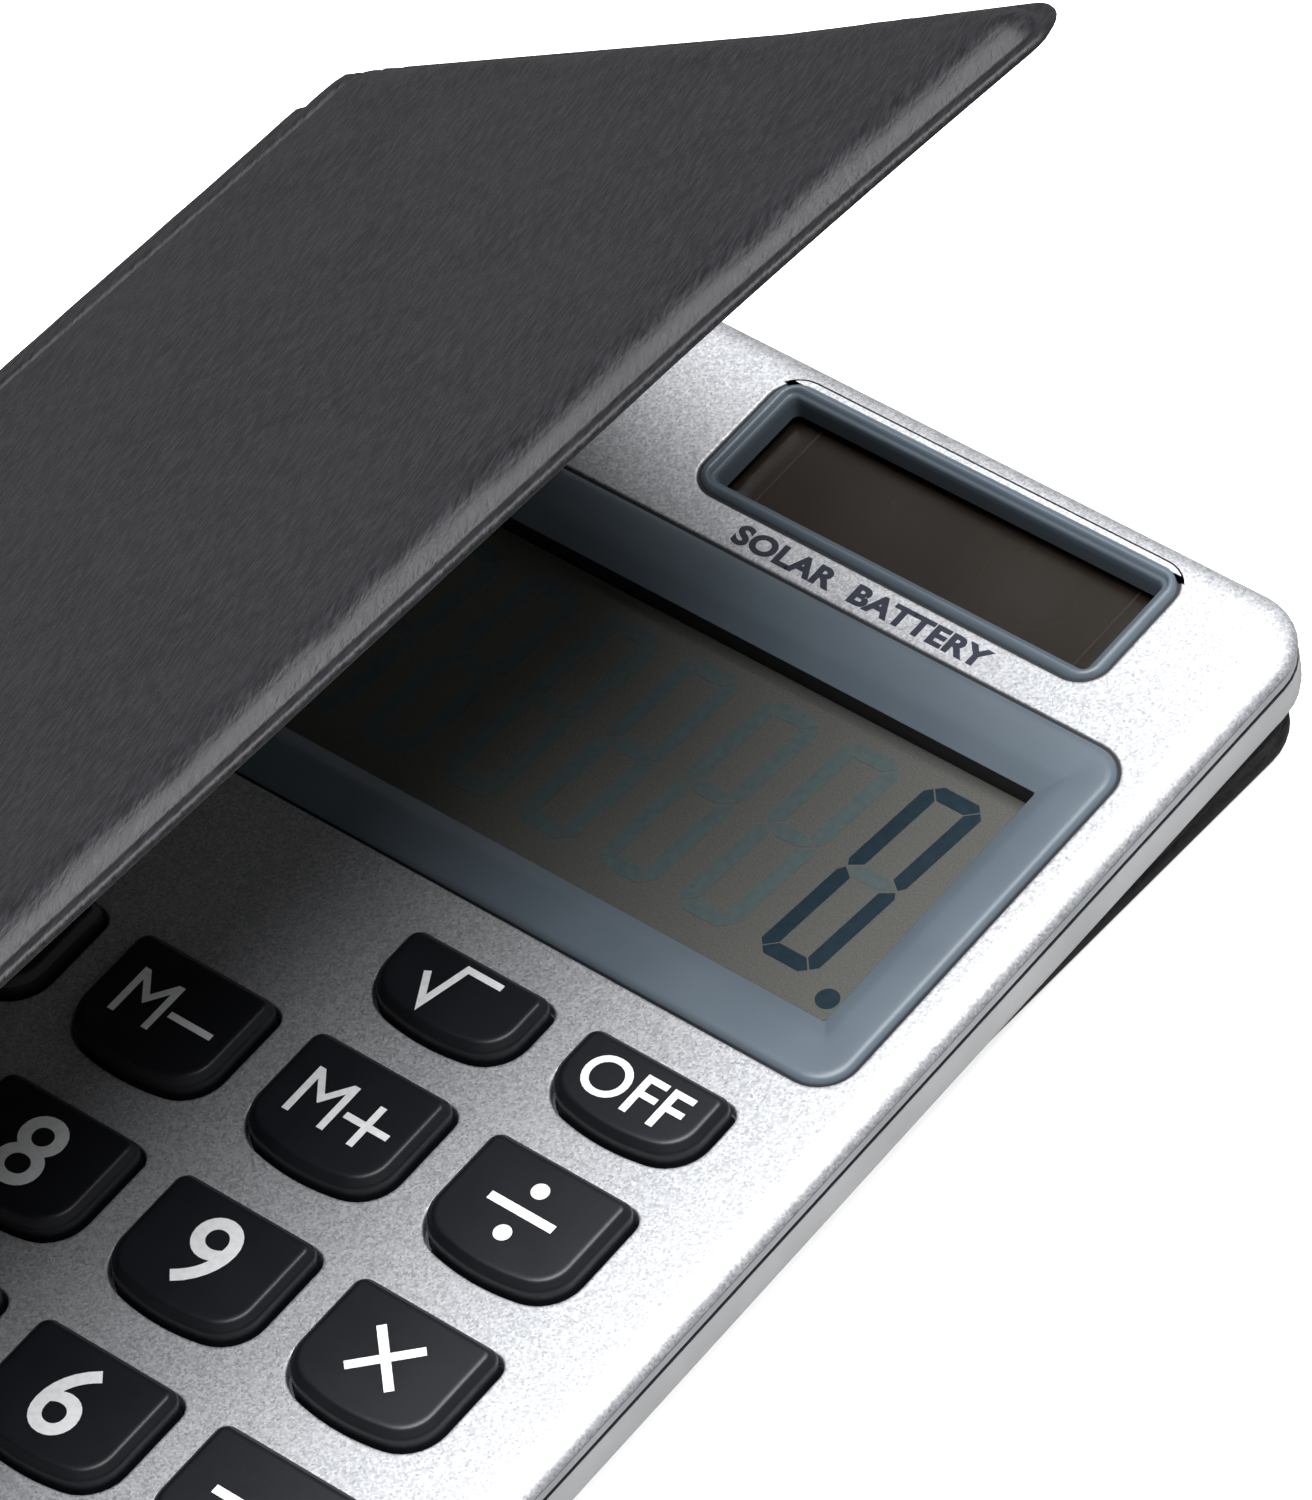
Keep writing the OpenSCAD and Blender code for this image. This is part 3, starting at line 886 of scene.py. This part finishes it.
def segment_shapes():
    """The seven segments: top, sides, middle and bottom, in the digit's own corner frame."""
    w, l, s, c = DIGIT_W, DIGIT_L, DIGIT_STROKE, DIGIT_CHAMFER
    half = l / 2
    top = [(c / 2, l - c / 2), (c, l), (w - c, l), (w - c / 2, l - c / 2), (w - s, l - s), (s, l - s)]
    side = [(w - c / 2, l - c / 2), (w, l - c), (w, half + 0.45), (w - 0.3, half + 0.02)]
    side += [(w - s, half + 0.55), (w - s, l - s)]
    middle = [(0.4, half), (s + 0.2, half + 0.5), (w - s - 0.2, half + 0.5)]
    middle += [(w - x, l - y) for x, y in middle]
    return {
        "top": top,
        "bottom": [(x, l - y) for x, y in top],
        "upper_right": side,
        "upper_left": [(w - x, y) for x, y in side],
        "lower_right": [(x, l - y) for x, y in side],
        "lower_left": [(w - x, l - y) for x, y in side],
        "middle": middle,
    }


def shrunk(points, gap):
    """An outline moved inwards by gap."""
    area = sum(a[0] * b[1] - b[0] * a[1] for a, b in zip(points, points[1:] + points[:1]))
    if area < 0:
        points = points[::-1]
    made = []
    for index, point in enumerate(points):
        here = Vector(point)
        before = (here - Vector(points[index - 1])).normalized()
        after = (Vector(points[(index + 1) % len(points)]) - here).normalized()
        first = Vector((-before.y, before.x))
        second = Vector((-after.y, after.x))
        bisector = (first + second).normalized()
        made.append(here + bisector * gap / max(0.35, bisector.dot(first)))
    return [(point.x, point.y) for point in made]


def display_segments():
    """A lit nought with its point at the right, and the unlit segments of every digit."""
    lit = Build()
    unlit = Build()
    shapes = segment_shapes()
    y0 = display_middle.y + LAST_DIGIT[1]
    for digit in range(DIGITS):
        x0 = display_middle.x + LAST_DIGIT[0] - digit * DIGIT_PITCH
        for name, outline in shapes.items():
            slanted = [(x0 + x + y * DIGIT_SLANT, y0 + y) for x, y in shrunk(outline, SEGMENT_GAP)]
            build = lit if digit == 0 and name != "middle" else unlit
            build.prism(slanted, SEGMENT_LOW, SEGMENT_HIGH)
    x = display_middle.x + POINT_PLACE[0]
    y = display_middle.y + POINT_PLACE[1]
    lit.prism(dot(POINT_R, x, y), SEGMENT_LOW, SEGMENT_HIGH)
    lit.done("segments_lit", "polarizer", "calculator", material=SEGMENT_ON)
    unlit.done("segments_unlit", "polarizer", "calculator", material=SEGMENT_OFF)


display_segments()

# ---------------------------------------------------------------- solar cell and printed strip

CONDUCTOR_W = 0.12
CONDUCTOR_INSET = 2.4
CONDUCTOR_MARGIN = 0.2
STRIP_TEXT_H = 1.45
STRIP_TEXT_X = -0.55


def solar_lines():
    """Two thin conductor lines across the solar cell, one near each end."""
    low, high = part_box("solar_cell")
    top = high.z / MM
    reach = (high.x - low.x) / MM / 2 - CONDUCTOR_INSET
    length = (high.y - low.y) / MM - 2 * CONDUCTOR_MARGIN
    build = Build()
    for x in (solar_middle.x - reach, solar_middle.x + reach):
        build.prism(bar(length, x, solar_middle.y, 90, CONDUCTOR_W), top - 0.005, top + 0.006)
    build.done("solar_conductors", "solar_dark", "calculator", material=SOLAR_LINE)


def printed_strip():
    """Plain printed words between the solar panel and the display."""
    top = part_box("face_plate")[1].z / MM
    x = solar_middle.x + STRIP_TEXT_X
    y = (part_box("solar_bezel")[0].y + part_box("display_bezel")[1].y) / 2 / MM
    build = Build()
    letters("SOLAR  BATTERY", STRIP_TEXT_H, x, y, top, build, 1.15, 0.045, 1.05)
    build.done("printed_strip", "silver_paint", "calculator", material=PANEL_INK)


solar_lines()
printed_strip()

# ---------------------------------------------------------------- wallet

WALLET_R = 4.0
SEAM_T = 6.6
BACK_SEAM = 3.4
HINGE_R = 0.8

flap_high = local_box("wallet_flap_cover", FLAP)[1]
back_high = local_box("wallet_back_cover", WALLET)[1]
back_top = local_box("wallet_back_lining", WALLET)[1].z

# Distance in from the edge and height, over the welded rim, the slope and the padded panel
FLAP_PROFILE = (
    (0.0, 0.06), (0.06, 0.2), (0.16, 0.28), (0.32, 0.31), (0.6, 0.3), (0.85, 0.28), (0.98, 0.3), (1.06, 0.42),
    (1.2, 0.62), (1.4, 0.85), (1.65, 1.08), (1.95, 1.29), (2.3, 1.46), (2.7, 1.58), (3.2, 1.65), (3.8, 1.68),
    (200.0, 1.68),
)
FLAP_INSETS = [inset for inset, height in FLAP_PROFILE[:-1]] + [4.1, 4.6, 5.2, 6.0, 7.0, 8.0]
WRINKLE = 0.12
SEAM_DEPTH = 0.32
SECOND_SEAM_T = 8.6
EDGE_DRAW = 2.1
END_DRAW = 1.5


def along_profile(profile, distance):
    """Height of a profile at a distance in from the edge."""
    for (near, low), (far, high) in zip(profile, profile[1:]):
        if distance <= far:
            return low + (high - low) * (distance - near) / (far - near)
    return profile[-1][1]


def panel_ring(near, far, half_l, inset, hinge_r=HINGE_R):
    """Outline of a wallet panel, pulled in all round, with round corners at its free edge."""
    free_r = max(WALLET_R - inset, 0.4)
    fold_r = max(hinge_r - inset, 0.15)
    low_x = near + inset
    high_x = far - inset
    half = half_l - inset
    steps = 9
    points = arc(high_x - free_r, half - free_r, free_r, 0, 90, steps)
    points += arc(low_x + fold_r, half - fold_r, fold_r, 90, 180, steps)
    points += arc(low_x + fold_r, fold_r - half, fold_r, 180, 270, steps)
    points += arc(high_x - free_r, free_r - half, free_r, 270, 360, steps)
    count = steps + 1
    return split(points, {count - 1: 80, 2 * count - 1: 140, 3 * count - 1: 80, 4 * count - 1: 140})


def free_distance(x, y, far, half_l):
    """How far a point of a panel is from its three free edges."""
    out_x = far - x
    out_y = half_l - abs(y)
    if out_x < WALLET_R and out_y < WALLET_R:
        return WALLET_R - math.hypot(WALLET_R - out_x, WALLET_R - out_y)
    return min(out_x, out_y)


def flared(x, y):
    """Draws the flap in from its box, save at its two free corners, which flare out to it."""
    reach = max(0.0, (abs(y) - 28) / (flap_high.y - 31)) ** 1.7
    narrow = EDGE_DRAW * (1 - min(1.0, reach)) * x / flap_high.x
    spread = max(0.0, min(1.0, (x - 48) / 22))
    short = END_DRAW * (1 - 0.65 * spread) * y / flap_high.y
    return x - narrow, y - short


def seam(distance, width=0.26):
    return math.exp(-((distance / width) ** 2))


def wrinkle(x, y, distance):
    """Small puckers on the slope, dying out on the flat panel and at the weld."""
    reach = max(0.0, min(1.0, (distance - 1.2) / 1.0)) * max(0.0, min(1.0, (6.0 - distance) / 3.0))
    if reach == 0:
        return 0.0
    small = noise.noise(Vector((x * 0.55, y * 0.55, 0.3)))
    large = noise.noise(Vector((x * 0.16, y * 0.16, 4.1)))
    return reach * WRINKLE * (small + 0.8 * large)


def flap_height(x, y):
    distance = free_distance(x, y, flap_high.x, flap_high.y)
    height = along_profile(FLAP_PROFILE, distance)
    height += wrinkle(x, y, distance)
    height -= SEAM_DEPTH * seam(x - SEAM_T, 0.3)
    height -= SEAM_DEPTH * seam(x - SECOND_SEAM_T)
    return height


def flap_cover():
    """The flap's outer skin: a padded panel with a welded rim, creased twice beside the fold."""
    build = Build(FLAP)
    skin = local_box("flap_lining", FLAP)[1].z
    rings = []
    for inset, height in ((0.3, skin + 0.02), (0.06, skin + 0.03), (0.0, skin + 0.09)):
        outline = panel_ring(SEAM_T, flap_high.x, flap_high.y, inset)
        rings.append([(*flared(x, y), height) for x, y in outline])
    hinge_insets = [1.7, 1.85, 1.95, 2.05, 2.15, 2.35]
    for inset in sorted(FLAP_INSETS + hinge_insets):
        outline = panel_ring(SEAM_T, flap_high.x, flap_high.y, inset)
        rings.append([(*flared(x, y), flap_height(x, y)) for x, y in outline])
    build.loft(rings)
    build.done("flap_skin", "leatherette", "flap", ("wallet_flap_cover",), 60)


# Distance in from the edge and depth, on the inside of the flap
LINING_PROFILE = (
    (0.0, 0.06), (0.1, 0.14), (0.25, 0.18), (1.0, 0.18), (1.15, 0.1), (1.3, 0.1), (1.45, 0.18),
    (3.4, 0.2), (3.9, 0.24), (4.5, 0.25), (200.0, 0.25),
)
LINING_INSETS = [inset for inset, depth in LINING_PROFILE[:-1]] + [6.0]
LINING_MARGIN = 0.2


def lining(piece, node, matrix, near, far, half_l, back, facing, body):
    """A lining sheet with a weld line round it. Facing is 1 if its shown side looks up, else -1."""
    build = Build(matrix)
    far -= LINING_MARGIN
    half_l -= LINING_MARGIN
    levels = [(0.4, back), (0.0, back)]
    levels += [(inset, back + facing * along_profile(LINING_PROFILE, inset)) for inset in LINING_INSETS]
    rings = []
    for inset, z in levels:
        outline = panel_ring(near, far, half_l, inset)
        if body == "flap":
            outline = [flared(x, y) for x, y in outline]
        rings.append(at_level(outline, z))
    build.loft(rings)
    sheet = build.done(piece, "lining", body, (node,), 60)


# Distance in from the edge and height, round the edge of the back panel
BACK_EDGE = (
    (0.9, 0.0), (0.5, 0.0), (0.22, 0.05), (0.06, 0.16), (0.0, 0.34), (0.0, 0.74), (0.07, 0.94), (0.2, 1.05),
    (0.4, 1.09), (1.2, 1.09),
)


def back_cover():
    """The back panel's skin, with a rounded edge all round."""
    build = Build(WALLET)
    rings = [at_level(panel_ring(BACK_SEAM, back_high.x, back_high.y, inset), z) for inset, z in BACK_EDGE]
    build.loft(rings)
    build.done("back_skin", "leatherette", "calculator", ("wallet_back_cover", "back_board"), 60)


flap_cover()
lining(
    "flap_inside", "flap_lining", FLAP, SEAM_T, flap_high.x, flap_high.y,
    local_box("flap_lining", FLAP)[1].z - 0.02, -1, "flap",
)
back_cover()
lining(
    "back_inside", "wallet_back_lining", WALLET, BACK_SEAM, back_high.x, back_high.y,
    back_top - 0.28, 1, "calculator",
)

# ---------------------------------------------------------------- spine strip

STRIP_T = 0.6
STRIP_INSET = 5.8
STRIP_END = 1.4


def in_wallet(t, n):
    """A point of the flap's cross-section as (out, up) in the wallet's."""
    point = WALLET.inverted() @ (FLAP @ Vector((t, 0, n)))
    return point.x, point.z


# Outer side of the strip, seen end on: from the back panel, round the spine and up to the flap
STRIP_LOWER = [
    (3.4, 0.34), (3.25, 0.15), (2.9, 0.06), (2.1, 0.05), (1.2, 0.15), (0.45, 0.6), (0.05, 1.5),
    (-0.08, 2.9), (-0.05, 4.4),
]
STRIP_UPPER = [(-0.05, 4.4), (0.12, 5.8), (0.55, 7.2), (1.2, 8.6), (1.95, 10.0), (2.72, 11.3)]
STRIP_ON_FLAP = ((4.85, 1.18), (5.45, 1.36), (6.0, 1.38), (6.35, 1.29), (6.55, 1.08))
STRIP_UPPER += [in_wallet(t, n) for t, n in STRIP_ON_FLAP]


def smooth_line(points, steps=5):
    """A curve through the points, by Catmull and Rom's rule."""
    line = [Vector(point) for point in points]
    line = [2 * line[0] - line[1]] + line + [2 * line[-1] - line[-2]]
    made = []
    for index in range(1, len(line) - 2):
        a, b, c, d = line[index - 1 : index + 3]
        for step in range(steps):
            u = step / steps
            second = 2 * a - 5 * b + 4 * c - d
            third = 3 * b - a - 3 * c + d
            made.append(0.5 * (2 * b + (c - a) * u + second * u * u + third * u**3))
    return made + [line[-2]]


def strip(piece, points, half_l, slack):
    """A bent strip of vinyl: its cross-section is swept along the fold, uneven if it is slack."""
    outer = smooth_line(points)
    inner = []
    for index, point in enumerate(outer):
        ahead = outer[min(index + 1, len(outer) - 1)]
        behind = outer[max(index - 1, 0)]
        tangent = (ahead - behind).normalized()
        inner.append(point + Vector((tangent.y, -tangent.x)) * STRIP_T)
    last = len(outer) - 1
    shares = [math.sin(math.pi * index / last) if slack else 0.0 for index in range(len(outer))]
    build = Build(WALLET)
    rings = []
    count = 110
    for step in range(count + 1):
        y = half_l * (2 * step / count - 1)
        wave = 0.12 * noise.noise(Vector((y * 0.045, 2.0, 7.0)))
        wave += 0.03 * noise.noise(Vector((y * 0.3, 0.5, 1.0)))
        end = max(0.0, (abs(y) - half_l + STRIP_END) / STRIP_END)
        tuck = 0.75 * STRIP_T * (1 - math.sqrt(max(0.0, 1 - end * end)))
        front = []
        rear = []
        for near, far, share in zip(outer, inner, shares):
            drawn = near + (far - near) * tuck / STRIP_T
            front.append((drawn.x - wave * share, y, drawn.y + wave * share))
            rear.append((far.x - wave * share, y, far.y + wave * share))
        rings.append(front + rear[::-1])
    build.loft(rings)
    return build.done(piece, "leatherette", None, (), 60)


spine_half = back_high.y - STRIP_INSET
upper_strip = strip("spine_strip_upper", STRIP_UPPER, spine_half, slack=True)
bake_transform(upper_strip)
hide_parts("wallet_spine")
lower_strip = strip("spine_strip_lower", STRIP_LOWER, spine_half, slack=False)
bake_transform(lower_strip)

# ---------------------------------------------------------------- CAD nodes that stay

FINISHES = {
    "leatherette": ("wallet_back_cover", "wallet_spine", "wallet_flap_cover"),
    "board": ("back_board", "flap_board"),
    "lining": ("wallet_back_lining", "flap_lining"),
    "adhesive": ("adhesive_pad",),
    "light_grey_plastic": ("rear_casing",),
    "grey_plastic": ("front_casing",),
    "silver_paint": ("face_plate",),
    "screw_steel": ("casing_screws",),
    "blue_grey_plastic": ("display_bezel", "solar_bezel"),
    "clear_plastic": ("display_window", "solar_window"),
    "polarizer": ("lcd_front_polarizer",),
    "lcd_glass": ("lcd_front_glass", "lcd_rear_glass"),
    "reflector": ("lcd_reflector",),
    "connector_rubber": ("lcd_connector",),
    "solar_dark": ("solar_cell",),
    "contact_brass": ("solar_leads", "battery_contact_positive", "battery_contact_negative"),
    "board_green": ("circuit_board",),
    "epoxy_black": ("calculator_chip",),
    "component_ceramic": ("board_components",),
    "mat_rubber": ("key_mat",),
    "cell_steel": ("battery",),
    "key_black": KEYS,
}
FINISH_OF = {node: finish for finish, nodes in FINISHES.items() for node in nodes}


def smooth_shading():
    """A node group that welds a mesh's split faces and shades it smooth up to 30 degrees."""
    group = bpy.data.node_groups.new("smooth_shading", "GeometryNodeTree")
    group.interface.new_socket("Geometry", in_out="INPUT", socket_type="NodeSocketGeometry")
    group.interface.new_socket("Geometry", in_out="OUTPUT", socket_type="NodeSocketGeometry")
    start = group.nodes.new("NodeGroupInput")
    weld = group.nodes.new("GeometryNodeMergeByDistance")
    weld.inputs["Distance"].default_value = 0.001 * MM
    faces = group.nodes.new("GeometryNodeSetShadeSmooth")
    faces.domain = "FACE"
    edges = group.nodes.new("GeometryNodeSetShadeSmooth")
    edges.domain = "EDGE"
    edges.inputs["Shade Smooth"].default_value = False
    angle = group.nodes.new("GeometryNodeInputMeshEdgeAngle")
    steep = group.nodes.new("FunctionNodeCompare")
    steep.inputs["B"].default_value = math.radians(31)
    end = group.nodes.new("NodeGroupOutput")
    group.links.new(start.outputs["Geometry"], weld.inputs["Geometry"])
    group.links.new(weld.outputs["Geometry"], faces.inputs["Geometry"])
    group.links.new(faces.outputs["Geometry"], edges.inputs["Geometry"])
    group.links.new(angle.outputs["Unsigned Angle"], steep.inputs["A"])
    group.links.new(steep.outputs["Result"], edges.inputs["Selection"])
    group.links.new(edges.outputs["Geometry"], end.inputs["Geometry"])
    return group


SMOOTH = smooth_shading()
for node_name, cad_object in frame["nodes"].items():
    cad_object.data.materials.clear()
    cad_object.data.materials.append(MATERIALS[FINISH_OF[node_name]])
    if not cad_object.hide_render:
        modifier = cad_object.modifiers.new("smooth_shading", "NODES")
        modifier.node_group = SMOOTH

# ---------------------------------------------------------------- floor, light and camera

CAMERA_AIM = Vector((10.09, 28.52, 6.9)) * MM
CAMERA_DISTANCE = 505.9 * MM
CAMERA_HEADING = math.radians(47.46)
CAMERA_PITCH = math.radians(49.5)
CAMERA_ROLL = math.radians(-11.49)
CAMERA_LENS = 260.94
SKY_STRENGTH = 0.22
LIGHT_PLACE = Vector((0.02, 0.12, 0.98))
LIGHT_WIDTH = 1.0
LIGHT_POWER = 29


def floor():
    """A plain pale floor, lit evenly to the edge of sight."""
    shader = Shader("floor", Roughness=0.9, Specular_IOR_Level=0.1)
    tone = shader.noise(900, detail=1)
    shader.color(shader.mix(tone, (0.93, 0.93, 0.93), (0.95, 0.95, 0.95)))
    shader.bsdf.inputs["Emission Color"].default_value = (1, 1, 1, 1)
    shader.bsdf.inputs["Emission Strength"].default_value = 0.75
    build = Build(Matrix.Identity(4))
    build.cap(build.ring(at_level(rounded(8, 8, 3), -0.0002)))
    data = bpy.data.meshes.new("floor")
    build.mesh.to_mesh(data)
    build.mesh.free()
    data.materials.append(shader.material)
    made = bpy.data.objects.new("floor", data)
    made.visible_glossy = False
    SCENE.collection.objects.link(made)


def sky(strength):
    world = bpy.data.worlds.new("studio")
    world.use_nodes = True
    background = world.node_tree.nodes["Background"]
    background.inputs["Color"].default_value = (1, 1, 1, 1)
    background.inputs["Strength"].default_value = strength
    SCENE.world = world


def overhead_light():
    """One wide round soft box, aimed at the part."""
    data = bpy.data.lights.new("overhead_light", "AREA")
    data.shape = "ELLIPSE"
    data.size = LIGHT_WIDTH
    data.size_y = LIGHT_WIDTH
    data.energy = LIGHT_POWER
    made = bpy.data.objects.new("overhead_light", data)
    made.location = LIGHT_PLACE
    made.rotation_euler = (-LIGHT_PLACE).to_track_quat("-Z", "Y").to_euler()
    SCENE.collection.objects.link(made)


def camera():
    """The photograph's viewing angle."""
    level = Vector((math.cos(CAMERA_HEADING), math.sin(CAMERA_HEADING), 0))
    ahead = UP.cross(level) * math.cos(CAMERA_PITCH)
    ahead -= UP * math.sin(CAMERA_PITCH)
    above = level.cross(ahead)
    right = level * math.cos(CAMERA_ROLL) + above * math.sin(CAMERA_ROLL)
    data = bpy.data.cameras.new("camera")
    data.sensor_fit = "HORIZONTAL"
    data.sensor_width = 36
    data.lens = CAMERA_LENS
    data.clip_start = 0.01
    made = bpy.data.objects.new("camera", data)
    turn = Matrix((right, right.cross(ahead), -ahead)).transposed().to_4x4()
    made.matrix_world = Matrix.Translation(CAMERA_AIM - ahead * CAMERA_DISTANCE) @ turn
    SCENE.collection.objects.link(made)
    SCENE.camera = made


floor()
sky(SKY_STRENGTH)
overhead_light()
camera()
SCENE.view_settings.view_transform = "Standard"
